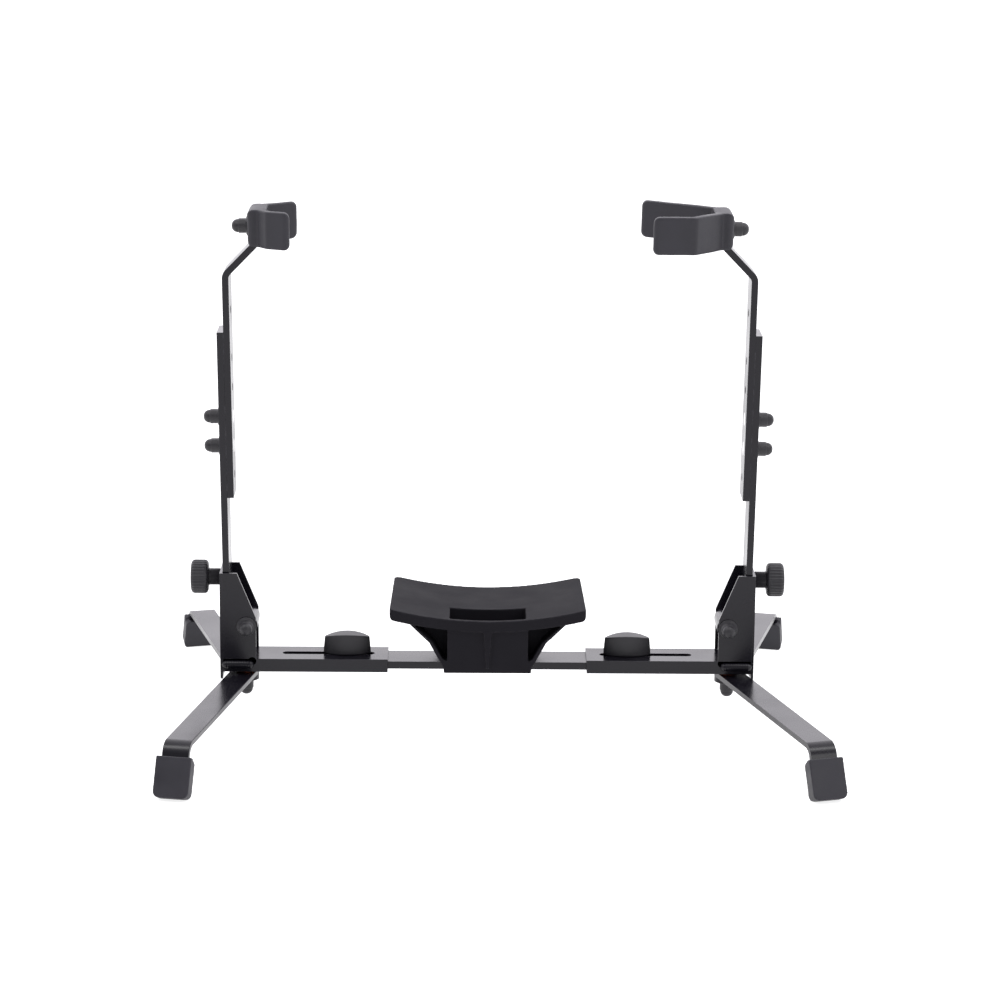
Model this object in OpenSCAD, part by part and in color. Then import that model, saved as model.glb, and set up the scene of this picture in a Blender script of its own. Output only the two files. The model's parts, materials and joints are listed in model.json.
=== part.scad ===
// Folding floor stand that holds one instrument between two padded cradles.
// Two rectangular tubes slide on a flat crossbar. Each tube carries an upright
// arm, two folding legs and the hardware for them. A curved saddle sits mid-way.
// Frame: origin on the floor under the crossbar's centre, front towards -Y.

/* [Crossbar and tubes] */
// Depth of the flat crossbar, front to back
crossbar_depth = 30; // [28:0.5:30.5]
// Length of the flat crossbar
crossbar_length = 250; // [240:1:256]
// Height of the tube's middle above the floor
tube_height_above_floor = 46.2; // [45:0.1:50]
// Outside depth of the rectangular tube, front to back
tube_depth = 35.2; // [35:0.1:37]
// Outside height of the rectangular tube
tube_height = 10.2; // [10.2:0.1:11]
// Distance of the tube's inner end from the centre
tube_inner_end = 76.4; // [70:0.2:82]

/* [Bracket and hinge] */
// Distance of the bracket's outer face from the centre
bracket_face = 204.7; // [204.7:0.1:206]
// Height of the bracket's top above the floor
bracket_top = 118.9; // [117:0.1:124]
// Height of the arm hinge above the floor
hinge_height = 77.1; // [76:0.1:80]
// Height of the lock knob's axis above the floor
lock_height = 111.9; // [104:0.1:112]

/* [Arms] */
// Width of the flat arm bars, front to back
arm_width = 30; // [26:0.5:30]
// Thickness of the flat arm bars
arm_thickness = 5; // [4:0.5:5]
// Length of the lower bar above the hinge
lower_bar_length = 228; // [190:1:240]
// Outward lean of the arms from the vertical, in degrees
arm_lean = 0.82; // [0:0.02:0.9]
// Height of the crank's lower corner above the hinge
crank_height = 271.5; // [262:0.5:300]

/* [Legs and feet] */
// Width of the flat leg bars
leg_width = 20; // [16:0.5:20]
// Thickness of the flat leg bars
leg_thickness = 4; // [3:0.5:4]
// Distance from the pivot to the downward bend
leg_reach = 191.5; // [160:0.5:200]
// Outward tilt of the legs' end pieces from the vertical, in degrees
leg_splay = 24; // [20:1:26]
// Turn of the left front leg away from straight forward, in degrees
left_front_turn = 11.2; // [0:0.1:17]
// Turn of the left back leg away from straight back, in degrees
left_back_turn = 15; // [0:0.1:45]
// Turn of the right front leg away from straight forward, in degrees
right_front_turn = 16.4; // [0:0.1:17]
// Turn of the right back leg away from straight back, in degrees
right_back_turn = 13.8; // [0:0.1:45]

/* [Cradles] */
// Reach of the left cradle's back prong from its outer face
left_cradle_reach = 35; // [30:0.5:50]
// Half spread at the tip of the left cradle's back prong
left_cradle_spread = 26.5; // [22:0.5:34]
// Reach of the right cradle's back prong from its outer face
right_cradle_reach = 66; // [50:0.5:68]
// Half spread at the tip of the right cradle's back prong
right_cradle_spread = 44.5; // [34:0.5:46]

/* [Saddle] */
// Radius of the saddle's curved top
saddle_radius = 300; // [260:5:400]
// Half width of the saddle at its front edge
saddle_half_front = 74.4; // [72:0.2:76]
// Half width of the saddle at its back edge
saddle_half_back = 72.6; // [70:0.2:75]

/* [Hidden] */
$fn = 48;

LEFT = -1;
RIGHT = 1;
steel_black = [0.20, 0.19, 0.22];
plastic_black = [0.16, 0.16, 0.18];
rubber_black = [0.23, 0.23, 0.25];
zinc = [0.75, 0.76, 0.78];
washer_red = [0.72, 0.20, 0.12];

// Standard hardware
bolt_d = 6;
screw_fit = 0.1;                 // bore minus bolt diameter
small_bolt_d = 5;
nut_body_d = 11.5;
nut_rim_d = 14.7;
nut_rim_h = 1.2;
nut_hex_h = 5;
nut_length = 12.5;
nut_dome_r = 4.9;
nut_end_wall = 3;
bolt_head_h = 4;
bolt_in_nut = 8;                 // how far a bolt runs into its nut
cut = 1;                         // how far a cutter runs past a face
face_gap = 0.1;                  // flat gap between stacked parts
overlap = 0.05;                  // how far a strip's straights run into its bends

// Crossbar and tube
wall = 2;
crossbar_height = 5.8;
tube_top = tube_height_above_floor + tube_height / 2;
tube_bottom = tube_height_above_floor - tube_height / 2;
tube_outer_end = bracket_face - wall;
crossbar_top = tube_height_above_floor + crossbar_height / 2;
crossbar_bottom = tube_height_above_floor - crossbar_height / 2;
knob_x = 108;
slot_start = 10.4;               // from the tube's inner end
slot_length = 71;
slot_width = 7;
pivot_x = 186;

// Bracket
flange_width = 27.5;
flange_top_width = 13.2;
flange_corner_z = 84;
web_below_tube = 5.7;
weld_r = 3.2;
weld_drop = 1.8;
weld_inset = 1.5;
weld_reach = 16;                 // how near the middle plane the bead may come
hinge_x = 184.5;

// Arm, measured from the hinge
arm_inner = 12.2;                // inner face of the lower bar
bar_foot = -4.5;
knuckle_r = 8.5;
knuckle_half = 5;
screw_heights = [138.2, 160.9];
spare_heights = [115.9, 183.6, 206.2, 242.8];
upper_bar_foot = 100.4;
crank_x = -14;
arm_centre = arm_inner - arm_thickness / 2;
crank_rise = arm_centre - crank_x;
hub_outer = -7.6;
hub_length = 14.4;
hub_height = 28.2;
hub_rise = 20.9;                 // from the crank's lower corner to the hub's foot
bar_in_hub = 24;
hub_foot = crank_height + hub_rise;
hub_middle = hub_foot + hub_height / 2;
hub_half = 18;
hub_taper = 2;
hub_inner_r = 1;
hub_outer_r = 4;
hub_slack = 0.05;                // around the bar inside the hub
bar_top = hub_foot + bar_in_hub;
bar_bend_r = 7;
prong = 6.4;
prong_root = 10.5;
cradle_corner_r = 4.5;
// Points of each prong, as shares of the cradle's reach and half spread
straight_prong = [[1, 1]];
left_front_prong = [[0.57, 0.92], [0.93, 1.17]];
right_front_prong = [[0.52, 0.89], [0.935, 0.944]];
countersink_d = 11;
countersink_h = 2.6;
countersink_gap = 0.12;
button_d = 11;
button_h = 3.3;

// Lock knob
collar_d = 12.8;
collar_length = 9.5;
collar_gap = 0.3;
lock_head_d = 26;
lock_head_length = 13.2;
lock_chamfer = 1.4;

// Wing knob
wing_half = 18.5;
wing_half_depth = 7.5;
wing_shoulder_half = 17.2;
wing_shoulder_h = 13.4;
wing_top_h = 16;
wing_gap = 0.2;                  // from the tube's top to the knob's foot
wing_bore_depth = 10;
stud_in_knob = 9.5;
stud_recess = 0.4;               // stud end above the crossbar's underside

// Legs
washer_h = 1.9;
washer_d = 14.8;
front_leg_top = tube_bottom - washer_h - 2 * face_gap;
back_leg_top = front_leg_top - leg_thickness - face_gap;
leg_bend_r = 10;
foot_width = 26.3;
foot_length = 30;
back_foot_length = 28;
foot_depth = 11;
foot_floor = 4;
foot_corner_r = 4.6;
foot_top_corner_r = 1;
foot_slack = 0.05;               // around the leg's end inside the foot
sole_cut = 1;                    // how deep the floor plane trims the sole

// Saddle
saddle_front = -47.5;
saddle_back = 44.5;
saddle_low_front = 90.1;
saddle_tilt = 1.7;
plate_thickness = 4.6;
lip_height = 8.2;
lip_depth = 4;
lip_corner_r = 3.6;
corner_steps = 8;                // flats in each rounded corner of the saddle
block_front = -46;
block_back = 42;
slot_half = 29;
saddle_slot_front = -43.4;
saddle_slot_back = -16;
saddle_slot_floor = 3;           // above the crossbar's top
saddle_core_front = 16;
saddle_core_back = 39;
saddle_core_height = 29;
saddle_screw_x = 16.8;
saddle_hole_depth = 12;
saddle_front_corner_r = 3;
saddle_back_corner_r = 6.5;
block_top = 99;
// Half width of the block at rising heights above the crossbar's top
flare = [[33, 0], [33.4, 4], [36.4, 9.5], [39.8, 15.5], [44.3, 23.8], [60, 39], [68, 46.4]];
// Pocket in each flank: half width and height above the crossbar's top
pocket = [[30.6, 9], [34.2, 11], [41.4, 23.5], [55.5, 37.3], [53, 39], [30.6, 35.5]];
pocket_depth = 16;
rib_half_top = 3.4;
rib_half_foot = 1.1;
rib_foot = 4;
rib_top = 33;
rib_proud = 2;
saddle_head_d = 9.2;
saddle_head_h = 4;
saddle_washer_d = 11;
saddle_washer_h = 1.4;

// ---- shared shapes -------------------------------------------------------

function unit(v) = v / norm(v);
function before(p, i) = p[(i + len(p) - 1) % len(p)];
function after(p, i) = p[(i + 1) % len(p)];
function half_angle(a, b, c) = acos(unit(a - b) * unit(c - b)) / 2;

// Convex outline with one radius for every corner
module round_poly(p, radii) {
    polygon([for (i = [0 : len(p) - 1])
        let (h = half_angle(before(p, i), p[i], after(p, i)), t = radii[i] / tan(h))
        each [p[i] + unit(before(p, i) - p[i]) * t, p[i] + unit(after(p, i) - p[i]) * t]]);
    for (i = [0 : len(p) - 1]) {
        h = half_angle(before(p, i), p[i], after(p, i));
        a = unit(before(p, i) - p[i]);
        b = unit(after(p, i) - p[i]);
        translate(p[i] + unit(a + b) * radii[i] / sin(h)) circle(r = radii[i]);
    }
}

// Flat strip of thickness t that follows the corners p with bend radius r
module bent_strip(p, t, r) {
    last = len(p) - 1;
    setback = [for (i = [0 : last]) i == 0 || i == last ? 0
        : r / tan(half_angle(p[i - 1], p[i], p[i + 1]))];
    for (i = [0 : last - 1]) {
        d = unit(p[i + 1] - p[i]);
        n = [-d[1], d[0]] * t / 2;
        a = p[i] + d * (setback[i] - (i == 0 ? 0 : overlap));
        b = p[i + 1] - d * (setback[i + 1] - (i + 1 == last ? 0 : overlap));
        polygon([a - n, b - n, b + n, a + n]);
    }
    if (last > 1) for (i = [1 : last - 1]) {
        a = unit(p[i - 1] - p[i]);
        b = unit(p[i + 1] - p[i]);
        c = p[i] + unit(a + b) * r / sin(half_angle(p[i - 1], p[i], p[i + 1]));
        intersection() {
            translate(c) difference() {
                circle(r = r + t / 2);
                circle(r = r - t / 2);
            }
            polygon([c, c + (p[i] + a * setback[i] - c) * 2, c + (p[i] - c) * 3,
                c + (p[i] + b * setback[i] - c) * 2]);
        }
    }
}

// Outline drawn in X and Z, from y0 over depth h
module xz(y0, h) {
    translate([0, y0 + h, 0]) rotate([90, 0, 0]) linear_extrude(h) children();
}

// Outline drawn in Y and Z, from x0 over length h
module yz(x0, h) {
    translate([x0, 0, 0]) rotate([90, 0, 90]) linear_extrude(h) children();
}

module bore_x(x0, h, d) {
    translate([x0, 0, 0]) rotate([0, 90, 0]) cylinder(d = d, h = h);
}

module bore_y(y0, h, d) {
    translate([0, y0, 0]) rotate([-90, 0, 0]) cylinder(d = d, h = h);
}

// Builds the right half as drawn, and the left half as its mirror image
module on_side(side) {
    mirror([side == LEFT ? 1 : 0, 0, 0]) children();
}

module at_hinge() {
    translate([hinge_x, 0, hinge_height]) rotate([0, arm_lean, 0]) children();
}

// Domed nut standing on z = 0, with a blind bore for its bolt
module cap_nut() {
    difference() {
        union() {
            cylinder(d = nut_rim_d, h = nut_rim_h);
            cylinder(d = nut_body_d, h = nut_rim_h + nut_hex_h, $fn = 6);
            rotate_extrude() intersection() {
                union() {
                    square([nut_dome_r, nut_length - nut_dome_r]);
                    translate([0, nut_length - nut_dome_r]) circle(r = nut_dome_r);
                }
                square([nut_dome_r, nut_length]);
            }
        }
        translate([0, 0, -cut]) cylinder(d = bolt_d + screw_fit, h = cut + nut_length - nut_end_wall);
    }
}

// ---- middle --------------------------------------------------------------

module crossbar() {
    color(steel_black) difference() {
        translate([-crossbar_length / 2, -crossbar_depth / 2, crossbar_bottom])
            cube([crossbar_length, crossbar_depth, crossbar_height]);
        for (x = [-knob_x, knob_x])
            translate([x, 0, crossbar_bottom - cut])
                cylinder(d = bolt_d + screw_fit, h = crossbar_height + 2 * cut);
        for (x = [-saddle_screw_x, saddle_screw_x])
            translate([x, 0, crossbar_bottom - cut])
                cylinder(d = small_bolt_d + screw_fit, h = crossbar_height + 2 * cut);
    }
}

function arc_points(centre, r, from, to) = [for (i = [0 : corner_steps])
    let (a = from + (to - from) * i / corner_steps) centre + r * [cos(a), sin(a)]];

// Plate seen from above, with its four corners rounded
module saddle_outline() {
    front_r = saddle_front_corner_r;
    back_r = saddle_back_corner_r;
    right = concat(
        arc_points([saddle_half_front - front_r, saddle_front + front_r], front_r, -90, 0),
        arc_points([saddle_half_back - back_r, saddle_back - back_r], back_r, 0, 90));
    polygon(concat(right,
        [for (i = [len(right) - 1 : -1 : 0]) [-right[i][0], right[i][1]]]));
}

// Band of the saddle's arc between two depths below its top
module saddle_band(top, foot) {
    difference() {
        translate([0, saddle_radius]) circle(r = saddle_radius + foot, $fn = 360);
        translate([0, saddle_radius]) circle(r = saddle_radius + top, $fn = 360);
        translate([-2 * saddle_radius, saddle_radius / 4])
            square([4 * saddle_radius, 2 * saddle_radius]);
    }
}

// What the rounding takes off the lip's lower right corner
module lip_corner() {
    outer_r = saddle_radius + lip_height - lip_corner_r;
    x = saddle_half_front - lip_corner_r;
    z = saddle_radius - sqrt(outer_r * outer_r - x * x);
    foot = 90 - asin(x / outer_r);
    polygon(concat(arc_points([x, z], lip_corner_r, 0, -foot), [[x, z - 2 * lip_corner_r], [saddle_half_front + cut, z - 2 * lip_corner_r],
        [saddle_half_front + cut, z]]));
}

module tilted() {
    translate([0, saddle_front, saddle_low_front]) rotate([saddle_tilt, 0, 0])
        translate([0, -saddle_front, 0]) children();
}

module saddle_block() {
    floor_z = crossbar_top;
    right = [for (p = flare) p + [0, floor_z]];
    left = [for (i = [len(flare) - 1 : -1 : 0]) [-flare[i][0], flare[i][1] + floor_z]];
    widest = flare[len(flare) - 1][0];
    xz(block_front, block_back - block_front)
        polygon(concat(right, [[widest, block_top], [-widest, block_top]], left));
}

// Triangular pocket beside the middle box, between it and the slanted flank
module flank_pocket() {
    polygon([for (p = pocket) p + [0, crossbar_top]]);
}

module saddle() {
    depth = saddle_back - saddle_front;
    color(plastic_black) difference() {
        union() {
            difference() {
                intersection() {
                    tilted() xz(saddle_front - cut, depth + 2 * cut) saddle_band(0, lip_height);
                    linear_extrude(2 * bracket_top) saddle_outline();
                }
                // behind the lip only the plate is left
                tilted() xz(saddle_front + lip_depth, depth)
                    saddle_band(plate_thickness, lip_height + cut);
                for (m = [0, 1]) mirror([m, 0, 0])
                    tilted() xz(saddle_front - 2 * cut, lip_depth + 3 * cut) lip_corner();
            }
            difference() {
                saddle_block();
                tilted() xz(saddle_front - 3 * cut, depth + 6 * cut)
                    translate([0, saddle_radius]) circle(r = saddle_radius + cut, $fn = 360);
                for (y = [block_front - cut, block_back - pocket_depth])
                    for (m = [0, 1]) mirror([m, 0, 0])
                        xz(y, pocket_depth + cut) flank_pocket();
            }
            // tapered rib down the middle of the front wall
            xz(block_front - rib_proud, rib_proud + cut)
                polygon([[-rib_half_top, crossbar_top + rib_top],
                    [-rib_half_foot, crossbar_top + rib_foot],
                    [rib_half_foot, crossbar_top + rib_foot],
                    [rib_half_top, crossbar_top + rib_top]]);
        }
        // open box behind the lip
        translate([-slot_half, saddle_slot_front, crossbar_top + saddle_slot_floor])
            cube([2 * slot_half, saddle_slot_back - saddle_slot_front, bracket_top]);
        // hollow under the back of the plate
        translate([-slot_half, saddle_core_front, crossbar_top - cut])
            cube([2 * slot_half, saddle_core_back - saddle_core_front,
                saddle_core_height + cut]);
        for (x = [-saddle_screw_x, saddle_screw_x])
            translate([x, 0, crossbar_top - cut])
                cylinder(d = small_bolt_d + screw_fit, h = saddle_hole_depth + cut);
    }
}

module saddle_screws() {
    color(zinc) for (x = [-saddle_screw_x, saddle_screw_x]) translate([x, 0, crossbar_bottom]) {
        translate([0, 0, -saddle_washer_h]) cylinder(d = saddle_washer_d, h = saddle_washer_h);
        translate([0, 0, -saddle_washer_h - saddle_head_h])
            cylinder(d = saddle_head_d, h = saddle_head_h, $fn = 6);
        cylinder(d = small_bolt_d, h = crossbar_height + saddle_hole_depth - cut);
    }
}

// ---- one side ------------------------------------------------------------

module tube(side) {
    slot_in = tube_inner_end + slot_start + slot_width / 2;
    slot_out = slot_in + slot_length - slot_width;
    color(steel_black) on_side(side) difference() {
        translate([tube_inner_end, -tube_depth / 2, tube_bottom])
            cube([tube_outer_end - tube_inner_end, tube_depth, tube_height]);
        translate([tube_inner_end - cut, wall - tube_depth / 2, tube_bottom + wall])
            cube([tube_outer_end - tube_inner_end + 2 * cut, tube_depth - 2 * wall,
                tube_height - 2 * wall]);
        for (x = [slot_in, slot_out])
            translate([x, 0, tube_height_above_floor]) cylinder(d = slot_width, h = tube_height);
        translate([slot_in, -slot_width / 2, tube_height_above_floor])
            cube([slot_out - slot_in, slot_width, tube_height]);
        translate([pivot_x, 0, tube_bottom - cut])
            cylinder(d = bolt_d + screw_fit, h = tube_height + 2 * cut);
    }
}

module flange() {
    inner = bracket_face - flange_width;
    polygon([[bracket_face, tube_top], [bracket_face, bracket_top],
        [bracket_face - flange_top_width, bracket_top], [inner, flange_corner_z],
        [inner, tube_top]]);
}

module weld_bead() {
    length = flange_width - 2 * weld_inset;
    translate([bracket_face - flange_width + weld_inset, -tube_depth / 2, tube_top - weld_drop]) {
        translate([weld_r / 2, 0, 0]) rotate([0, 90, 0]) cylinder(r = weld_r, h = length - weld_r);
        for (x = [weld_r / 2, length - weld_r / 2]) translate([x, 0, 0]) sphere(r = weld_r);
    }
}

module bracket(side) {
    color(steel_black) on_side(side) difference() {
        union() {
            translate([tube_outer_end, -tube_depth / 2, tube_bottom - web_below_tube])
                cube([wall, tube_depth, bracket_top - tube_bottom + web_below_tube]);
            for (y = [-tube_depth / 2, tube_depth / 2 - wall]) xz(y, wall) flange();
            for (m = [0, 1]) mirror([0, m, 0]) intersection() {
                weld_bead();
                translate([0, -2 * tube_depth, 0])
                    cube([bracket_face, 2 * tube_depth - weld_reach, bracket_top]);
            }
        }
        translate([tube_outer_end - flange_width, -tube_depth / 2, tube_bottom - cut])
            cube([flange_width, tube_depth, tube_height + cut]);
        translate([hinge_x, 0, hinge_height])
            bore_y(-tube_depth, 2 * tube_depth, bolt_d + screw_fit);
        translate([tube_outer_end - cut, 0, lock_height])
            bore_x(0, wall + 2 * cut, bolt_d + screw_fit);
    }
}

module wing_knob(side) {
    lens_r = (wing_half * wing_half + wing_half_depth * wing_half_depth) / (2 * wing_half_depth);
    rise = wing_top_h - wing_shoulder_h;
    arch_r = (wing_shoulder_half * wing_shoulder_half + rise * rise) / (2 * rise);
    color(plastic_black) on_side(side) translate([knob_x, 0, tube_top + wing_gap]) difference() {
        intersection() {
            xz(-wing_half, 2 * wing_half) intersection() {
                polygon([[-wing_half, 0], [wing_half, 0],
                    [wing_shoulder_half, wing_shoulder_h], [wing_shoulder_half, wing_top_h],
                    [-wing_shoulder_half, wing_top_h], [-wing_shoulder_half, wing_shoulder_h]]);
                translate([0, wing_top_h - arch_r]) circle(r = arch_r, $fn = 360);
            }
            linear_extrude(wing_top_h) intersection() {
                translate([0, lens_r - wing_half_depth]) circle(r = lens_r, $fn = 360);
                translate([0, wing_half_depth - lens_r]) circle(r = lens_r, $fn = 360);
            }
        }
        translate([0, 0, -cut]) cylinder(d = bolt_d + screw_fit, h = wing_bore_depth + cut);
    }
}

// Fixed stud that stands in the crossbar and passes up through the tube's slot
module wing_stud(side) {
    foot = crossbar_bottom + stud_recess;
    color(zinc) on_side(side) translate([knob_x, 0, foot])
        cylinder(d = bolt_d, h = tube_top + wing_gap + stud_in_knob - foot);
}

module leg_bolt(side) {
    nut_seat = back_leg_top - leg_thickness - face_gap;
    color(zinc) on_side(side) translate([pivot_x, 0, 0]) {
        translate([0, 0, tube_top]) cylinder(d = nut_body_d, h = bolt_head_h, $fn = 6);
        translate([0, 0, nut_seat - bolt_in_nut])
            cylinder(d = bolt_d, h = tube_top + cut - nut_seat + bolt_in_nut);
    }
}

module red_washer(side) {
    color(washer_red) on_side(side)
        translate([pivot_x, 0, front_leg_top + face_gap]) difference() {
            cylinder(d = washer_d, h = washer_h);
            translate([0, 0, -cut]) cylinder(d = bolt_d + screw_fit, h = washer_h + 2 * cut);
        }
}

module leg_nut(side) {
    nut_seat = back_leg_top - leg_thickness - face_gap;
    color(plastic_black) on_side(side) translate([pivot_x, 0, nut_seat])
        rotate([180, 0, 0]) cap_nut();
}

// Where the end piece starts, and how far down it the sole lies
function end_start(middle) = [leg_reach, middle];
function sole_distance(middle) =
    (middle - foot_depth / 2 * sin(leg_splay) + sole_cut) / cos(leg_splay);

module leg(side, top, heading) {
    middle = top - leg_thickness / 2;
    length = sole_distance(middle) - foot_floor;
    tip = end_start(middle) + [sin(leg_splay), -cos(leg_splay)] * length;
    color(steel_black) on_side(side) translate([pivot_x, 0, 0]) rotate([0, 0, heading])
        difference() {
            union() {
                translate([0, 0, top - leg_thickness]) cylinder(d = leg_width, h = leg_thickness);
                xz(-leg_width / 2, leg_width)
                    bent_strip([[0, middle], end_start(middle), tip], leg_thickness, leg_bend_r);
            }
            translate([0, 0, top - leg_thickness - cut])
                cylinder(d = bolt_d + screw_fit, h = leg_thickness + 2 * cut);
        }
}

// Outline of a foot seen from along its leg
module foot_face(half, sole, length, top_r) {
    round_poly([[-half, sole], [half, sole], [half, sole + length], [-half, sole + length]],
        [foot_corner_r, foot_corner_r, top_r, top_r]);
}

module foot(side, top, heading, length) {
    middle = top - leg_thickness / 2;
    half = foot_width / 2;
    sole = -sole_distance(middle);
    color(rubber_black) on_side(side) translate([pivot_x, 0, 0]) rotate([0, 0, heading])
        difference() {
            translate([leg_reach, 0, middle]) rotate([0, -leg_splay, 0]) difference() {
                union() {
                    yz(0, foot_depth / 2) foot_face(half, sole, length, foot_top_corner_r);
                    yz(-foot_depth / 2, foot_depth / 2 + overlap)
                        foot_face(half, sole, length, foot_corner_r);
                }
                translate([-leg_thickness / 2 - foot_slack, -leg_width / 2 - foot_slack,
                        sole + foot_floor])
                    cube([leg_thickness + 2 * foot_slack, leg_width + 2 * foot_slack, length]);
            }
            translate([0, -foot_width, -foot_width])
                cube([2 * leg_reach, 2 * foot_width, foot_width]);
        }
}

module hinge_bolt(side) {
    color(zinc) on_side(side) translate([hinge_x, 0, hinge_height])
        bore_y(-tube_depth / 2 - bolt_in_nut, tube_depth + 2 * bolt_in_nut, bolt_d);
}

module hinge_nuts(side) {
    color(plastic_black) on_side(side) translate([hinge_x, 0, hinge_height])
        for (m = [0, 1]) mirror([0, m, 0])
            translate([0, tube_depth / 2, 0]) rotate([-90, 0, 0]) cap_nut();
}

module lock_knob(side) {
    start = bracket_face + collar_gap;
    color(plastic_black) on_side(side) translate([0, 0, lock_height]) {
        bore_x(bracket_face - wall + face_gap, wall + cut, bolt_d);
        bore_x(start, collar_length - collar_gap, collar_d);
        translate([bracket_face + collar_length, 0, 0]) rotate([0, 90, 0]) rotate_extrude()
            polygon([[0, 0], [lock_head_d / 2 - lock_chamfer, 0],
                [lock_head_d / 2, lock_chamfer], [lock_head_d / 2, lock_head_length - lock_chamfer],
                [lock_head_d / 2 - lock_chamfer, lock_head_length], [0, lock_head_length]]);
    }
}

module lower_bar(side) {
    outer = arm_inner + arm_thickness;
    color(steel_black) on_side(side) at_hinge() difference() {
        union() {
            xz(-arm_width / 2, arm_width)
                polygon([[arm_inner, bar_foot], [outer, bar_foot], [outer, lower_bar_length],
                    [arm_inner, lower_bar_length]]);
            xz(-arm_width / 2, arm_width)
                polygon([[0, bar_foot], [arm_inner + cut, bar_foot],
                    [arm_inner + cut, knuckle_half], [0, knuckle_half]]);
            bore_y(-arm_width / 2, arm_width, 2 * knuckle_r);
        }
        bore_y(-arm_width, 2 * arm_width, bolt_d + screw_fit);
        for (z = concat(screw_heights, [lock_height - hinge_height]))
            translate([0, 0, z]) bore_x(arm_inner - cut, arm_thickness + 2 * cut, bolt_d + screw_fit);
    }
}

module upper_strip(thickness) {
    bent_strip([[arm_centre, upper_bar_foot], [arm_centre, crank_height],
        [crank_x, crank_height + crank_rise], [crank_x, bar_top]], thickness, bar_bend_r);
}

module upper_bar(side) {
    inner = arm_inner - arm_thickness;
    color(steel_black) on_side(side) at_hinge() difference() {
        xz(-arm_width / 2, arm_width) upper_strip(arm_thickness);
        for (z = concat(screw_heights, spare_heights))
            translate([0, 0, z]) bore_x(inner - cut, arm_thickness + 2 * cut, bolt_d + screw_fit);
        for (z = screw_heights) translate([inner, 0, z]) rotate([0, 90, 0])
            cylinder(d1 = countersink_d, d2 = bolt_d + screw_fit, h = countersink_h);
        translate([0, 0, hub_middle])
            bore_x(crank_x - arm_thickness, 2 * arm_thickness, bolt_d + screw_fit);
    }
}

module bar_screws(side) {
    inner = arm_inner - arm_thickness;
    color(zinc) on_side(side) at_hinge() for (z = screw_heights) translate([inner, 0, z])
        rotate([0, 90, 0]) {
            cylinder(d1 = countersink_d - 2 * countersink_gap, d2 = bolt_d, h = countersink_h);
            cylinder(d = bolt_d, h = 2 * arm_thickness + bolt_in_nut);
        }
}

module bar_nuts(side) {
    color(plastic_black) on_side(side) at_hinge() for (z = screw_heights)
        translate([arm_inner + arm_thickness, 0, z]) rotate([0, 90, 0]) cap_nut();
}

// Points of a prong seen from above, from inside the hub to the middle of its round tip
function prong_path(reach, spread, shares) = concat(
    [[hub_outer - hub_length / 2, prong_root]],
    [for (f = shares) [hub_outer - f[0] * reach + prong / 2, f[1] * spread]]);

// One upright prong: straight slabs with a round post at every corner and at the tip
module prong_plate(reach, spread, shares) {
    path = prong_path(reach, spread, shares);
    for (i = [1 : len(path) - 1]) {
        linear_extrude(hub_height) bent_strip([path[i - 1], path[i]], prong, 0);
        translate(path[i]) cylinder(d = prong, h = hub_height);
    }
}

// Side view of a cradle that reaches this far, with rounded corners
module cradle_profile(reach) {
    far = hub_outer - reach;
    top = hub_foot + hub_height;
    r = cradle_corner_r;
    xz(-2 * tube_depth, 4 * tube_depth)
        round_poly([[far, hub_foot], [hub_outer, hub_foot], [hub_outer, top], [far, top]],
            [r, r, r, r]);
}

module cradle(side, reach, spread, front) {
    inner = hub_outer - hub_length;
    front_reach = reach * front[len(front) - 1][0];
    color(rubber_black) on_side(side) at_hinge() difference() {
        union() {
            intersection() {
                translate([0, 0, hub_foot]) union() {
                    linear_extrude(hub_height)
                        round_poly([[inner, -hub_half + hub_taper], [hub_outer, -hub_half],
                            [hub_outer, hub_half], [inner, hub_half - hub_taper]],
                            [hub_inner_r, hub_outer_r, hub_outer_r, hub_inner_r]);
                    prong_plate(reach, spread, straight_prong);
                }
                cradle_profile(reach);
            }
            intersection() {
                translate([0, 0, hub_foot]) mirror([0, 1, 0])
                    prong_plate(reach, spread, front);
                cradle_profile(front_reach);
            }
        }
        xz(-arm_width / 2 - hub_slack, arm_width + 2 * hub_slack)
            upper_strip(arm_thickness + 2 * hub_slack);
        translate([0, 0, hub_middle]) bore_x(inner - 2 * cut, hub_length + 4 * cut, bolt_d + screw_fit);
    }
}

module cradle_screw(side) {
    inner = hub_outer - hub_length;
    color(zinc) on_side(side) at_hinge() translate([inner, 0, hub_middle]) {
        bore_x(-button_h, button_h, button_d);
        bore_x(0, hub_length + bolt_in_nut, bolt_d);
    }
}

module cradle_nut(side) {
    color(plastic_black) on_side(side) at_hinge()
        translate([hub_outer, 0, hub_middle]) rotate([0, 90, 0]) cap_nut();
}

// ---- named parts ---------------------------------------------------------

module left_tube() { tube(LEFT); }
module right_tube() { tube(RIGHT); }
module left_bracket() { bracket(LEFT); }
module right_bracket() { bracket(RIGHT); }
module left_wing_stud() { wing_stud(LEFT); }
module right_wing_stud() { wing_stud(RIGHT); }
module left_wing_knob() { wing_knob(LEFT); }
module right_wing_knob() { wing_knob(RIGHT); }
module left_leg_bolt() { leg_bolt(LEFT); }
module right_leg_bolt() { leg_bolt(RIGHT); }
module left_red_washer() { red_washer(LEFT); }
module right_red_washer() { red_washer(RIGHT); }
module left_leg_nut() { leg_nut(LEFT); }
module right_leg_nut() { leg_nut(RIGHT); }
module left_front_leg() { leg(LEFT, front_leg_top, left_front_turn - 90); }
module left_back_leg() { leg(LEFT, back_leg_top, 90 - left_back_turn); }
module right_front_leg() { leg(RIGHT, front_leg_top, right_front_turn - 90); }
module right_back_leg() { leg(RIGHT, back_leg_top, 90 - right_back_turn); }
module left_front_foot() { foot(LEFT, front_leg_top, left_front_turn - 90, foot_length); }
module left_back_foot() { foot(LEFT, back_leg_top, 90 - left_back_turn, back_foot_length); }
module right_front_foot() { foot(RIGHT, front_leg_top, right_front_turn - 90, foot_length); }
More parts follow.
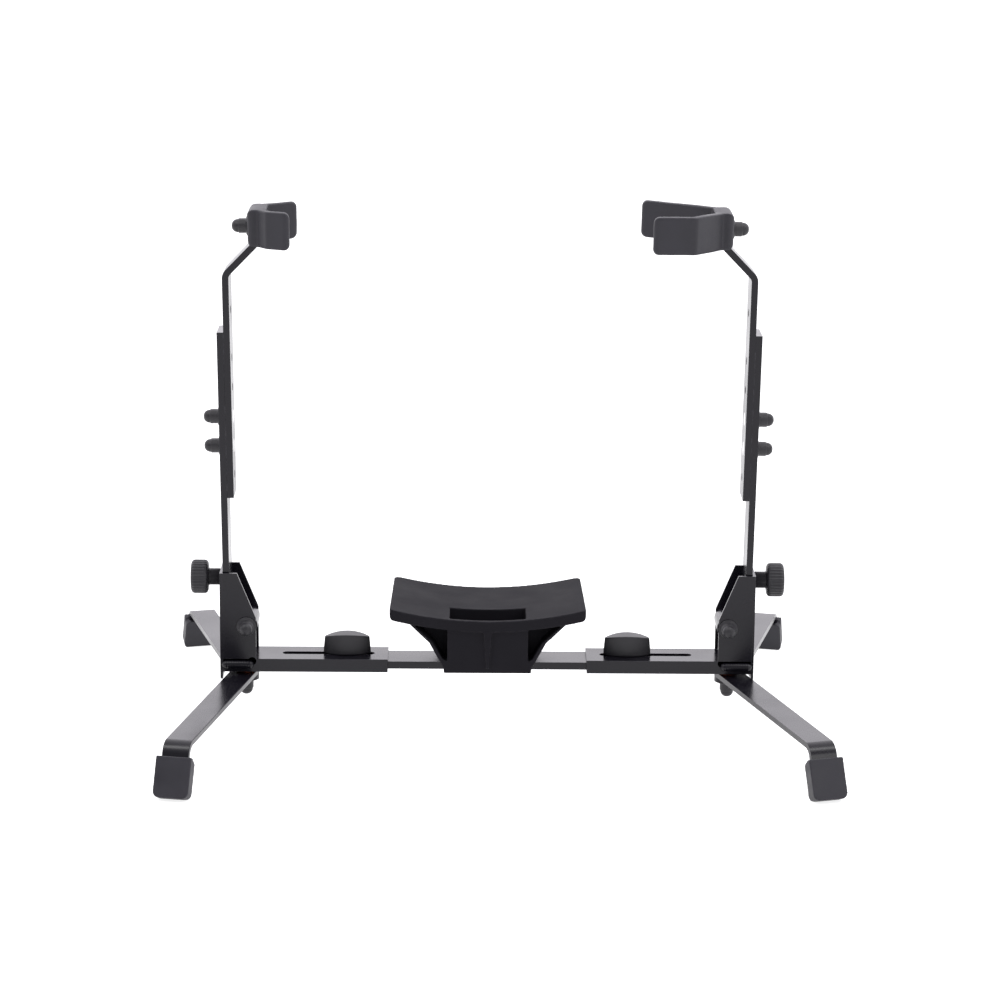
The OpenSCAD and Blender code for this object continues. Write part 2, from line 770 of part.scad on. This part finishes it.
module right_back_foot() { foot(RIGHT, back_leg_top, 90 - right_back_turn, back_foot_length); }
module left_hinge_bolt() { hinge_bolt(LEFT); }
module right_hinge_bolt() { hinge_bolt(RIGHT); }
module left_hinge_nuts() { hinge_nuts(LEFT); }
module right_hinge_nuts() { hinge_nuts(RIGHT); }
module left_lock_knob() { lock_knob(LEFT); }
module right_lock_knob() { lock_knob(RIGHT); }
module left_lower_bar() { lower_bar(LEFT); }
module right_lower_bar() { lower_bar(RIGHT); }
module left_upper_bar() { upper_bar(LEFT); }
module right_upper_bar() { upper_bar(RIGHT); }
module left_bar_screws() { bar_screws(LEFT); }
module right_bar_screws() { bar_screws(RIGHT); }
module left_bar_nuts() { bar_nuts(LEFT); }
module right_bar_nuts() { bar_nuts(RIGHT); }
module left_cradle() { cradle(LEFT, left_cradle_reach, left_cradle_spread, left_front_prong); }
module right_cradle() {
    cradle(RIGHT, right_cradle_reach, right_cradle_spread, right_front_prong);
}
module left_cradle_screw() { cradle_screw(LEFT); }
module right_cradle_screw() { cradle_screw(RIGHT); }
module left_cradle_nut() { cradle_nut(LEFT); }
module right_cradle_nut() { cradle_nut(RIGHT); }

crossbar();
saddle();
saddle_screws();
left_tube();
right_tube();
left_bracket();
right_bracket();
left_wing_stud();
right_wing_stud();
left_wing_knob();
right_wing_knob();
left_leg_bolt();
right_leg_bolt();
left_red_washer();
right_red_washer();
left_leg_nut();
right_leg_nut();
left_front_leg();
left_back_leg();
right_front_leg();
right_back_leg();
left_front_foot();
left_back_foot();
right_front_foot();
right_back_foot();
left_hinge_bolt();
right_hinge_bolt();
left_hinge_nuts();
right_hinge_nuts();
left_lock_knob();
right_lock_knob();
left_lower_bar();
right_lower_bar();
left_upper_bar();
right_upper_bar();
left_bar_screws();
right_bar_screws();
left_bar_nuts();
right_bar_nuts();
left_cradle();
right_cradle();
left_cradle_screw();
right_cradle_screw();
left_cradle_nut();
right_cradle_nut();
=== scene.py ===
"""Folding floor stand for one instrument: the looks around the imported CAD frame, in metres.

Every piece is worked out from the CAD nodes: steel parts are redrawn with broken edges, moulded
parts are rebuilt as soft closed skins, and nuts, knobs and welds are turned or swept in mesh code.
"""
import json
import math

import bmesh
import bpy
import numpy as np
from mathutils import Matrix, Vector, noise


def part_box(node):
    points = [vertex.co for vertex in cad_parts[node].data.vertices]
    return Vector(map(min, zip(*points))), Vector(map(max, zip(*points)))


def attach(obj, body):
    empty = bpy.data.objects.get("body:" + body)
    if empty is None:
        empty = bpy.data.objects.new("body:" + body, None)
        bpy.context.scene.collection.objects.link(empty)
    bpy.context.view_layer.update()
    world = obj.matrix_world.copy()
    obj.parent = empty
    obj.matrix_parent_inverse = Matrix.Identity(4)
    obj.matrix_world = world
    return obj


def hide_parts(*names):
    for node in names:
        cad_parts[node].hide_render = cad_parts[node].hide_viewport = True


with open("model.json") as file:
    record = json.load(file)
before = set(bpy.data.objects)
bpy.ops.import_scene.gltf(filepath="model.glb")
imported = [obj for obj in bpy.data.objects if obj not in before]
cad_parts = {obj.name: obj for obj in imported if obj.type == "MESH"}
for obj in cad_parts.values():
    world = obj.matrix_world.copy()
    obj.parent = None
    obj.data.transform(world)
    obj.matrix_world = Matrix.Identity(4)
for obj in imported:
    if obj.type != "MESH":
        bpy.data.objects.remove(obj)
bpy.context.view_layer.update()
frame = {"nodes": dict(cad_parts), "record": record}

MM = 0.001
SIDES = ("left", "right")
RIPPLES_PER_METRE = 55.0
CAP_SIDES = 48
WELD = 1e-6                      # points nearer than this are one point
FLAT_ANGLE = math.radians(0.4)   # faces closer in angle than this are one face
SHARP_ANGLE = math.radians(32)   # edges sharper than this are rounded
NODES = frame["nodes"]
BODY_OF = {n: body for body, nodes in frame["record"]["behaviour"]["bodies"].items() for n in nodes}
SLOT_OF = {p["node"]: p["material_slot"] for p in frame["record"]["subparts"]}


# ---- materials -----------------------------------------------------------

class Shader:
    """A Principled material and the few node chains that every finish here uses."""

    def __init__(self, name, color, roughness, metallic=0.0, specular=0.5):
        self.material = bpy.data.materials.new(name)
        self.material.use_nodes = True
        self.tree = self.material.node_tree
        self.principled = self.tree.nodes["Principled BSDF"]
        self.color = color
        self.roughness = roughness
        self.principled.inputs["Metallic"].default_value = metallic
        self.principled.inputs["Specular IOR Level"].default_value = specular
        self.place = self.add("ShaderNodeTexCoord").outputs["Object"]
        self.normal = None

    def add(self, kind, **settings):
        node = self.tree.nodes.new(kind)
        for key, value in settings.items():
            setattr(node, key, value)
        return node

    def link(self, source, target):
        self.tree.links.new(source, target)

    def stretched(self, scale):
        mapping = self.add("ShaderNodeMapping")
        mapping.inputs["Scale"].default_value = scale
        self.link(self.place, mapping.inputs["Vector"])
        return mapping.outputs["Vector"]

    def noise(self, size, detail=3.0, place=None):
        """Noise whose features are about size metres across."""
        node = self.add("ShaderNodeTexNoise")
        node.inputs["Scale"].default_value = 1.0 / size
        node.inputs["Detail"].default_value = detail
        self.link(place or self.place, node.inputs["Vector"])
        return node.outputs["Fac"]

    def remap(self, value, low, high, to_low, to_high):
        node = self.add("ShaderNodeMapRange")
        for key, number in (("From Min", low), ("From Max", high),
                            ("To Min", to_low), ("To Max", to_high)):
            node.inputs[key].default_value = number
        self.link(value, node.inputs["Value"])
        return node.outputs["Result"]

    def times(self, a, b):
        node = self.add("ShaderNodeMath", operation="MULTIPLY")
        self.link(a, node.inputs[0])
        self.link(b, node.inputs[1])
        return node.outputs["Value"]

    def mix(self, factor, first, second):
        node = self.add("ShaderNodeMix", data_type="RGBA")
        self.link(factor, node.inputs["Factor"])
        for socket, value in zip((node.inputs[6], node.inputs[7]), (first, second)):
            if isinstance(value, tuple):
                socket.default_value = value + (1.0,)
            else:
                self.link(value, socket)
        return node.outputs[2]

    def bump(self, height, distance, strength=1.0):
        node = self.add("ShaderNodeBump")
        node.inputs["Distance"].default_value = distance
        node.inputs["Strength"].default_value = strength
        self.link(height, node.inputs["Height"])
        if self.normal:
            self.link(self.normal, node.inputs["Normal"])
        self.normal = node.outputs["Normal"]

    def edges(self, radius):
        """1 along sharp edges, 0 on flats, from how far a rounded normal leans away."""
        rounded = self.add("ShaderNodeBevel", samples=4)
        rounded.inputs["Radius"].default_value = radius
        flat = self.add("ShaderNodeNewGeometry").outputs["Normal"]
        lean = self.add("ShaderNodeVectorMath", operation="DOT_PRODUCT")
        self.link(rounded.outputs["Normal"], lean.inputs[0])
        self.link(flat, lean.inputs[1])
        return self.remap(lean.outputs["Value"], 0.99, 0.86, 0.0, 1.0)

    def edge_highlight_and_wear(self, edge, patch, start, full, most=1.0):
        """Patches about patch metres across, on sharp edges only, up to most: edge wear on the zinc
        and the washer, a painted edge highlight on the black finishes.
        """
        return self.times(self.edges(edge), self.remap(self.noise(patch), start, full, 0.0, most))

    def gloss(self, cloud, below, above):
        """The finish's roughness, lowered and raised by a cloudy noise."""
        return self.remap(cloud, 0.3, 0.7, self.roughness - below, self.roughness + above)

    def finish(self, color, roughness):
        self.link(color, self.principled.inputs["Base Color"])
        self.link(roughness, self.principled.inputs["Roughness"])
        self.link(self.normal, self.principled.inputs["Normal"])
        return self.material


def scaled(color, factor):
    return tuple(min(1.0, c * factor) for c in color)


def powder_coat():
    """Satin black powder coat: fine orange peel, cloudy gloss, and a painted edge highlight: sharp
    edges painted a lighter grey in patches.
    """
    s = Shader("satin_powder_coat", (0.0050, 0.0046, 0.0072), roughness=0.23, specular=0.27)
    cloud = s.noise(size=0.045, detail=2.0)
    edge_highlight_and_wear = s.edge_highlight_and_wear(edge=0.0009, patch=0.006, start=0.42, full=0.62)
    tone = s.mix(cloud, scaled(s.color, 0.75), scaled(s.color, 1.3))
    # painted edge highlight: a lighter bluish grey painted on sharp edges, in patches
    tone = s.mix(edge_highlight_and_wear, tone, (0.035, 0.034, 0.040))
    s.bump(s.noise(size=0.0011, detail=2.0), distance=0.000012, strength=0.4)
    s.bump(s.noise(size=0.00035, detail=2.0), distance=0.000003, strength=0.4)
    return s.finish(tone, s.gloss(cloud, below=0.04, above=0.05))


def moulded_plastic(name, color, roughness, specular):
    """Black moulded plastic with spark-eroded grain, and a painted edge highlight: sharp edges
    painted a lighter grey in patches.
    """
    s = Shader(name, color, roughness, specular=specular)
    flow = s.noise(size=0.030, detail=2.0)
    edge_highlight_and_wear = s.edge_highlight_and_wear(edge=0.0011, patch=0.004, start=0.40, full=0.60, most=0.8)
    tone = s.mix(flow, scaled(s.color, 0.8), scaled(s.color, 1.25))
    # painted edge highlight: a lighter grey painted on sharp edges, in patches
    tone = s.mix(edge_highlight_and_wear, tone, (0.035, 0.034, 0.038))
    s.bump(s.noise(size=0.0006, detail=3.0), distance=0.00005, strength=0.6)
    s.bump(s.noise(size=0.012, detail=1.0), distance=0.00012, strength=0.5)
    return s.finish(tone, s.gloss(flow, below=0.05, above=0.05))


def soft_rubber():
    """Matt rubber: dusty bloom, fine pitted skin and a faint mould ripple."""
    s = Shader("matt_rubber", (0.0165, 0.0160, 0.0205), roughness=0.50, specular=0.30)
    bloom = s.noise(size=0.016, detail=4.0)
    edge_highlight_and_wear = s.edge_highlight_and_wear(edge=0.0014, patch=0.003, start=0.40, full=0.62, most=0.7)
    tone = s.mix(bloom, scaled(s.color, 0.75), scaled(s.color, 1.45))
    # painted edge highlight: a lighter bluish grey painted on sharp edges, in patches
    tone = s.mix(edge_highlight_and_wear, tone, (0.050, 0.050, 0.058))
    s.bump(s.noise(size=0.0008, detail=4.0), distance=0.00006, strength=0.6)
    s.bump(s.noise(size=0.007, detail=2.0), distance=0.00015, strength=0.45)
    return s.finish(tone, s.gloss(bloom, below=0.08, above=0.08))


def zinc_plate():
    """Bright zinc: metal with fine drawn lines and cloudy passivation."""
    s = Shader("zinc_plate", (0.66, 0.67, 0.70), roughness=0.30, metallic=1.0)
    cloud = s.noise(size=0.004, detail=3.0)
    worn = s.edge_highlight_and_wear(edge=0.0005, patch=0.002, start=0.40, full=0.60)
    tone = s.mix(cloud, scaled(s.color, 0.82), (0.74, 0.73, 0.68))
    tone = s.mix(worn, tone, (0.50, 0.50, 0.52))
    drawn = s.noise(size=0.0012, detail=2.0, place=s.stretched((8.0, 1.0, 1.0)))
    s.bump(drawn, distance=0.00002, strength=0.6)
    return s.finish(tone, s.gloss(cloud, below=0.08, above=0.12))


def fibre_washer():
    """Orange-red fibre washer with short mottled strands."""
    s = Shader("red_fibre", (0.52, 0.085, 0.030), roughness=0.50, specular=0.4)
    strand = s.noise(size=0.0011, detail=4.0, place=s.stretched((1.0, 3.0, 1.0)))
    worn = s.edge_highlight_and_wear(edge=0.0004, patch=0.0015, start=0.40, full=0.60, most=0.8)
    tone = s.mix(strand, scaled(s.color, 0.7), (0.66, 0.16, 0.06))
    tone = s.mix(worn, tone, (0.60, 0.30, 0.20))
    s.bump(strand, distance=0.00005, strength=0.7)
    return s.finish(tone, s.gloss(strand, below=0.08, above=0.12))


FINISH = {
    "black_steel": powder_coat(),
    "black_plastic": moulded_plastic("knob_plastic", (0.0150, 0.0145, 0.0172), 0.42, 0.32),
    "black_rubber": soft_rubber(),
    "zinc_steel": zinc_plate(),
    "red_washer": fibre_washer(),
}
SADDLE_PLASTIC = moulded_plastic("saddle_plastic", (0.0100, 0.0095, 0.0118), 0.62, 0.05)


# ---- reading the CAD -----------------------------------------------------

def points(node):
    return np.array([v.co for v in NODES[node].data.vertices], float)


def spread_axis(node):
    """Direction in which a node's points are spread most, pointing towards +X."""
    p = points(node)
    p = p - p.mean(0)
    direction = np.linalg.eigh(p.T @ p)[1][:, -1]
    return Vector(direction * (1 if direction[0] > 0 else -1))


def welded(node):
    """A CAD node's mesh as a bmesh whose faces share their points."""
    bm = bmesh.new()
    bm.from_mesh(NODES[node].data)
    bmesh.ops.remove_doubles(bm, verts=bm.verts, dist=WELD)
    return bm


def shells(node):
    """The points of each separate solid in a node, lowest first."""
    bm = welded(node)
    groups = []
    left = set(bm.verts)
    while left:
        stack = [next(iter(left))]
        group = set(stack)
        while stack:
            for edge in stack.pop().link_edges:
                for v in edge.verts:
                    if v not in group:
                        group.add(v)
                        stack.append(v)
        left -= group
        groups.append(np.array([v.co for v in group]))
    bm.free()
    return sorted(groups, key=lambda g: (round(g[:, 2].mean(), 5), g[:, 1].mean()))


# ---- making pieces -------------------------------------------------------

def piece(name, bm, node, replaces=True):
    """A smooth-shaded object from a bmesh, with the finish and body of a CAD node."""
    mesh = bpy.data.meshes.new(name)
    bm.normal_update()
    bm.to_mesh(mesh)
    bm.free()
    mesh.polygons.foreach_set("use_smooth", [True] * len(mesh.polygons))
    mesh.materials.append(SADDLE_PLASTIC if node == "saddle" else FINISH[SLOT_OF[node]])
    obj = bpy.data.objects.new(name, mesh)
    bpy.context.scene.collection.objects.link(obj)
    if replaces:
        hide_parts(node)
    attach(obj, BODY_OF[node])
    return obj


def broken_edges(node, width, segments=3, flat_at=None):
    """The node's own shape with every sharp edge rounded by width.

    With flat_at, what stands farther than that from the middle in Y is drawn back flat.
    """
    bm = welded(node)
    if flat_at:
        for v in bm.verts:
            v.co.y = max(-flat_at, min(flat_at, v.co.y))
    bmesh.ops.dissolve_limit(bm, angle_limit=FLAT_ANGLE, verts=bm.verts, edges=bm.edges,
                             delimit=set())
    obj = piece(node + "_finish", bm, node)
    bevel = obj.modifiers.new("edges", "BEVEL")
    bevel.width = width
    bevel.segments = segments
    bevel.limit_method = "ANGLE"
    bevel.angle_limit = SHARP_ANGLE
    bevel.miter_outer = "MITER_ARC"
    bevel.use_clamp_overlap = True
    normals = obj.modifiers.new("normals", "WEIGHTED_NORMAL")
    normals.keep_sharp = True
    return obj


def soft_skin(node, voxel, rounds, ripple=0.0):
    """The node rebuilt as one closed moulded skin: even cells, smoothed, then rippled."""
    source = NODES[node].data.copy()
    temporary = bpy.data.objects.new("source", source)
    bpy.context.scene.collection.objects.link(temporary)
    weld = temporary.modifiers.new("weld", "WELD")
    weld.merge_threshold = WELD
    remesh = temporary.modifiers.new("cells", "REMESH")
    remesh.mode = "VOXEL"
    remesh.voxel_size = voxel
    smooth = temporary.modifiers.new("smooth", "SMOOTH")
    smooth.factor = 0.5
    smooth.iterations = rounds
    bpy.context.view_layer.update()
    shaped = temporary.evaluated_get(bpy.context.evaluated_depsgraph_get())
    bm = bmesh.new()
    bm.from_mesh(shaped.to_mesh())
    shaped.to_mesh_clear()
    bpy.data.objects.remove(temporary)
    bpy.data.meshes.remove(source)
    bm.normal_update()
    low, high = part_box(node)
    for v in bm.verts:
        v.co += v.normal * (noise.noise(v.co * RIPPLES_PER_METRE) * ripple)
        v.co = Vector(min(max(c, a), b) for c, a, b in zip(v.co, low, high))
    return piece(node + "_skin", bm, node)


def turned(profile, steps, foot, axis, radius_at=None):
    """A closed solid of revolution: profile holds (distance along the axis, radius)."""
    bm = bmesh.new()
    axis = Vector(axis).normalized()
    across = axis.orthogonal().normalized()
    other = axis.cross(across)
    rings = []
    for along, radius in profile:
        ring = []
        for k in range(steps):
            angle = 2 * math.pi * k / steps
            r = radius_at(along, radius, angle) if radius_at else radius
            ring.append(bm.verts.new(foot + axis * along
                                     + (across * math.cos(angle) + other * math.sin(angle)) * r))
        rings.append(ring)
    for low, high in zip(rings, rings[1:]):
        for k in range(steps):
            n = (k + 1) % steps
            bm.faces.new((low[k], low[n], high[n], high[k]))
    bm.faces.new(rings[0][::-1])
    bm.faces.new(rings[-1])
    return bm


def joined(parts):
    """Several bmeshes in one."""
    whole = bmesh.new()
    for part in parts:
        mesh = bpy.data.meshes.new("part")
        part.to_mesh(mesh)
        part.free()
        whole.from_mesh(mesh)
        bpy.data.meshes.remove(mesh)
    return whole


# ---- hardware ------------------------------------------------------------

def cap_profile(length, rim):
    """Plastic-capped nut: flat flange, straight body with a groove, then a full dome."""
    body = 0.76 * rim
    flange = 1.2 * MM
    edge = 0.35 * MM
    groove = 0.30 * MM
    shoulder = 0.60 * length
    dome_height = length - shoulder
    dome_foot = 0.90 * body
    dome_rings = 11
    bluntness = 0.85
    tip = 0.04 * body
    profile = [(0.0, rim - edge), (edge, rim), (flange - edge, rim), (flange, rim - edge),
               (flange + edge, body + edge), (flange + 2 * edge, body),
               (shoulder - 2 * groove, body), (shoulder - groove, body - groove),
               (shoulder, dome_foot)]
    for k in range(1, dome_rings + 1):
        turn = math.radians(90) * k / (dome_rings + 0.5)
        profile.append((shoulder + dome_height * math.sin(turn),
                        dome_foot * math.cos(turn) ** bluntness))
    profile.append((length, tip))
    return profile


def cap_nuts(node, outward):
    """Every nut of a node, each turned about its own axis with its flange on the seat."""
    parts = []
    for shell in shells(node):
        axis = outward(shell)
        direction = np.array(axis)
        along = shell @ direction
        middle = shell.mean(0)
        foot = middle + direction * (along.min() - middle @ direction)
        reach = shell - foot
        radius = np.linalg.norm(reach - np.outer(reach @ direction, direction), axis=1).max()
        profile = cap_profile(along.max() - along.min(), radius)
        parts.append(turned(profile, CAP_SIDES, Vector(foot), axis))
    return piece(node + "_caps", joined(parts), node)


def round_edge(turns, lip):
    """Points of a quarter round of radius lip: how far round it and how far out of it."""
    return [(lip * math.sin(t), lip * math.cos(t)) for t in turns]


def lock_knob(side):
    """Knurled clamp knob: neck, shouldered grip with ribs, and a dished end face."""
    node = side + "_lock_knob"
    out = 1 if side == "right" else -1
    p = points(node)
    middle = Vector((0.0, (p[:, 1].max() + p[:, 1].min()) / 2, (p[:, 2].max() + p[:, 2].min()) / 2))
    radius = np.hypot(p[:, 1] - middle.y, p[:, 2] - middle.z)
    along = p[:, 0] * out
    near = 0.1 * MM

    # the CAD knob's three steps: stud, neck and grip
    grip = radius.max()
    on_head = 0.8 * grip
    head = along[radius > on_head]
    head_start, head_end = head.min(), head.max()
    neck = radius[along < head_start - near].max()
    neck_start = along[(radius > neck - near) & (radius < neck + near)].min()
    stud_start = along.min()
    stud = radius[along < stud_start + near].max()

    lip = 3.0 * MM
    lip_steps = 6
    flat_steps = 6
    stud_chamfer = 0.4 * MM
    neck_chamfer = 0.5 * MM
    fillet = 0.9 * MM
    fillet_rise = 0.7 * MM
    dish = 1.0 * MM
    dish_lip = 0.3 * MM
    inner = grip - lip
    profile = [(stud_start, 0.8 * stud), (stud_start + stud_chamfer, stud), (neck_start, stud),
               (neck_start, neck - neck_chamfer), (neck_start + neck_chamfer, neck),
               (head_start - fillet, neck), (head_start, neck + fillet_rise),
               (head_start, inner)]
    profile += [(head_start + lip - rise, inner + reach)
                for reach, rise in round_edge(np.linspace(0.15, math.pi / 2, lip_steps), lip)]
    profile += [(at, grip) for at in
                np.linspace(head_start + lip + MM, head_end - lip - MM, flat_steps)]
    profile += [(head_end - lip + reach, inner + rise)
                for reach, rise in round_edge(np.linspace(0.0, 1.42, lip_steps), lip)]
    profile += [(head_end, 0.72 * grip), (head_end - dish_lip, 0.66 * grip),
                (head_end - dish, 0.60 * grip), (head_end - dish, 0.05 * grip)]

    ribs = 30
    steps_per_rib = 12
    rib_depth = 0.45 * MM
    rib_run_out = 0.8 * lip
    rib_sharpness = 1.6

    def ribbed(at, r, angle):
        inside = min(at - head_start, head_end - at) / rib_run_out
        weight = max(0.0, min(1.0, inside)) * (1.0 if r > on_head else 0.0)
        wave = 0.5 - 0.5 * math.cos(ribs * angle)
        return r - rib_depth * weight * wave ** rib_sharpness

    bm = turned(profile, ribs * steps_per_rib, middle, (out, 0, 0), ribbed)
    return piece(node + "_grip", bm, node)


def weld_beads(side):
    """Smooth fillet weld on each face of the bracket, where the flange meets the tube."""
    node = side + "_bracket"
    low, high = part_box(node)
    tube_low, tube_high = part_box(side + "_tube")
    out = 1 if side == "right" else -1
    outer = high.x if out > 0 else -low.x
    half = (tube_high.y - tube_low.y) / 2
    proud = (high.y - low.y) / 2 - half
    length = 24.5 * MM
    end_gap = 1.2 * MM
    ripple = 0.07 * MM
    pitch = 1.9 * MM
    rings = 72
    sides = 28
    end_cap = 0.02 * MM              # keeps the first and last ring open
    above_middle = 0.6 * MM
    seat = (tube_high.z + tube_low.z) / 2 + above_middle
    start = Vector(((outer - end_gap - length) * out, 0, seat))
    parts = []
    for face in (-1, 1):
        profile = []
        for k in range(rings + 1):
            at = length * k / rings
            end = min(at, length - at) + end_cap
            taper = math.sqrt(max(0.0, 1 - max(0.0, 1 - end / proud) ** 2))
            wave = ripple * math.sin(2 * math.pi * at / pitch)
            profile.append((at, (proud - ripple + wave) * taper))
        parts.append(turned(profile, sides, start + Vector((0, face * half, 0)), (out, 0, 0)))
    return piece(side + "_weld_beads", joined(parts), node, replaces=False)


# ---- the object ----------------------------------------------------------

STEEL_EDGE = 0.55 * MM
TUBE_EDGE = 0.8 * MM
BRACKET_EDGE = 0.45 * MM
HARDWARE_EDGES = {"_red_washer": 0.25 * MM, "_leg_bolt": 0.3 * MM, "_hinge_bolt": 0.3 * MM,
                  "_wing_stud": 0.3 * MM, "_bar_screws": 0.2 * MM, "_cradle_screw": 0.4 * MM}


def outward_in_y(shell):
    return Vector((0, 1 if shell[:, 1].mean() > 0 else -1, 0))


def downward(shell):
    return Vector((0, 0, -1))


def half_of_stand(side):
    """Every piece of one side."""
    tube_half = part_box(side + "_tube")[1].y
    broken_edges(side + "_tube", TUBE_EDGE)
    broken_edges(side + "_bracket", BRACKET_EDGE, segments=2, flat_at=tube_half)
    broken_edges(side + "_lower_bar", STEEL_EDGE)
    broken_edges(side + "_upper_bar", STEEL_EDGE)
    for end in ("front", "back"):
        broken_edges(side + "_" + end + "_leg", STEEL_EDGE)
        soft_skin(side + "_" + end + "_foot", voxel=0.5 * MM, rounds=5, ripple=0.10 * MM)
    for name, width in HARDWARE_EDGES.items():
        broken_edges(side + name, width, segments=2)
    soft_skin(side + "_cradle", voxel=0.7 * MM, rounds=14, ripple=0.30 * MM)
    soft_skin(side + "_wing_knob", voxel=0.4 * MM, rounds=6)
    lock_knob(side)
    weld_beads(side)
    along_screw = spread_axis(side + "_cradle_screw") * (1 if side == "right" else -1)
    cap_nuts(side + "_cradle_nut", lambda shell: along_screw)
    cap_nuts(side + "_bar_nuts", lambda shell: along_screw)
    cap_nuts(side + "_hinge_nuts", outward_in_y)
    cap_nuts(side + "_leg_nut", downward)


broken_edges("crossbar", STEEL_EDGE)
for side in SIDES:
    half_of_stand(side)
soft_skin("saddle", voxel=0.5 * MM, rounds=5, ripple=0.05 * MM)
broken_edges("saddle_screws", 0.3 * MM, segments=2)


# ---- floor, light and camera ---------------------------------------------

def studio_floor():
    """A wide pale sheet that stays level past every edge of the picture."""
    half_size = 40.0
    cells = 8
    bm = bmesh.new()
    bmesh.ops.create_grid(bm, x_segments=cells, y_segments=cells, size=half_size)
    mesh = bpy.data.meshes.new("floor")
    bm.to_mesh(mesh)
    bm.free()
    floor = bpy.data.objects.new("floor", mesh)
    bpy.context.scene.collection.objects.link(floor)
    material = bpy.data.materials.new("white_sweep")
    material.use_nodes = True
    principled = material.node_tree.nodes["Principled BSDF"]
    principled.inputs["Base Color"].default_value = (0.5, 0.5, 0.5, 1.0)
    principled.inputs["Emission Color"].default_value = (1.0, 1.0, 1.0, 1.0)
    principled.inputs["Emission Strength"].default_value = 0.80
    principled.inputs["Roughness"].default_value = 0.9
    principled.inputs["Specular IOR Level"].default_value = 0.0
    mesh.materials.append(material)


def area_light(name, place, target, size, power):
    """A rectangular lamp of size in metres and power in watts, aimed at target."""
    light = bpy.data.lights.new(name, "AREA")
    light.shape = "RECTANGLE"
    light.size, light.size_y = size
    light.energy = power
    lamp = bpy.data.objects.new(name, light)
    lamp.location = place
    lamp.rotation_euler = (Vector(target) - Vector(place)).to_track_quat("-Z", "Y").to_euler()
    bpy.context.scene.collection.objects.link(lamp)


def studio_light():
    """A room that is dim in front of the stand and bright behind it, and three soft lamps."""
    front_level, back_level = 0.28, 2.05
    faintly_cool = (1.0, 0.975, 1.03, 1.0)
    world = bpy.data.worlds.new("studio")
    world.use_nodes = True
    tree = world.node_tree
    direction = tree.nodes.new("ShaderNodeTexCoord").outputs["Generated"]
    split = tree.nodes.new("ShaderNodeSeparateXYZ")
    level = tree.nodes.new("ShaderNodeMapRange")
    for key, number in (("From Min", -1.0), ("From Max", 0.6),
                        ("To Min", front_level), ("To Max", back_level)):
        level.inputs[key].default_value = number
    tree.links.new(direction, split.inputs["Vector"])
    tree.links.new(split.outputs["Y"], level.inputs["Value"])
    tree.links.new(level.outputs["Result"], tree.nodes["Background"].inputs["Strength"])
    tree.nodes["Background"].inputs["Color"].default_value = faintly_cool
    bpy.context.scene.world = world
    strip = {"size": (0.45, 1.8), "power": 17.0}
    area_light("strip_left", place=(-1.0, -0.7, 2.1), target=(0.0, 0.0, 0.15), **strip)
    area_light("strip_right", place=(1.1, -0.4, 2.1), target=(0.0, 0.0, 0.15), **strip)
    area_light("front_right", place=(1.9, -2.2, 1.2), target=(0.0, 0.0, 0.2),
               size=(1.0, 1.0), power=12.0)


def photo_camera():
    """The camera of the reference view: its place and turn come from a perspective fit."""
    focal_px = 3247.3
    picture_px = 1000.0
    sensor = 36.0
    place = Vector((-0.01859, -2.41191, 0.75446))
    pitch, yaw, roll = (math.radians(a) for a in (13.54, -0.653, 0.515))
    right = Vector((math.cos(yaw), math.sin(yaw), 0))
    level = Vector((-math.sin(yaw), math.cos(yaw), 0))
    up = Vector((0, 0, 1))
    forward = math.cos(pitch) * level - math.sin(pitch) * up
    top = math.sin(pitch) * level + math.cos(pitch) * up
    x = math.cos(roll) * right + math.sin(roll) * top
    y = math.cos(roll) * top - math.sin(roll) * right
    data = bpy.data.cameras.new("camera")
    data.sensor_width = sensor
    data.lens = focal_px / picture_px * sensor
    data.clip_end = 200.0
    camera = bpy.data.objects.new("camera", data)
    bpy.context.scene.collection.objects.link(camera)
    camera.matrix_world = Matrix.Translation(place) @ Matrix((x, y, -forward)).transposed().to_4x4()
    bpy.context.scene.camera = camera


studio_floor()
studio_light()
photo_camera()
bpy.context.scene.view_settings.view_transform = "Standard"
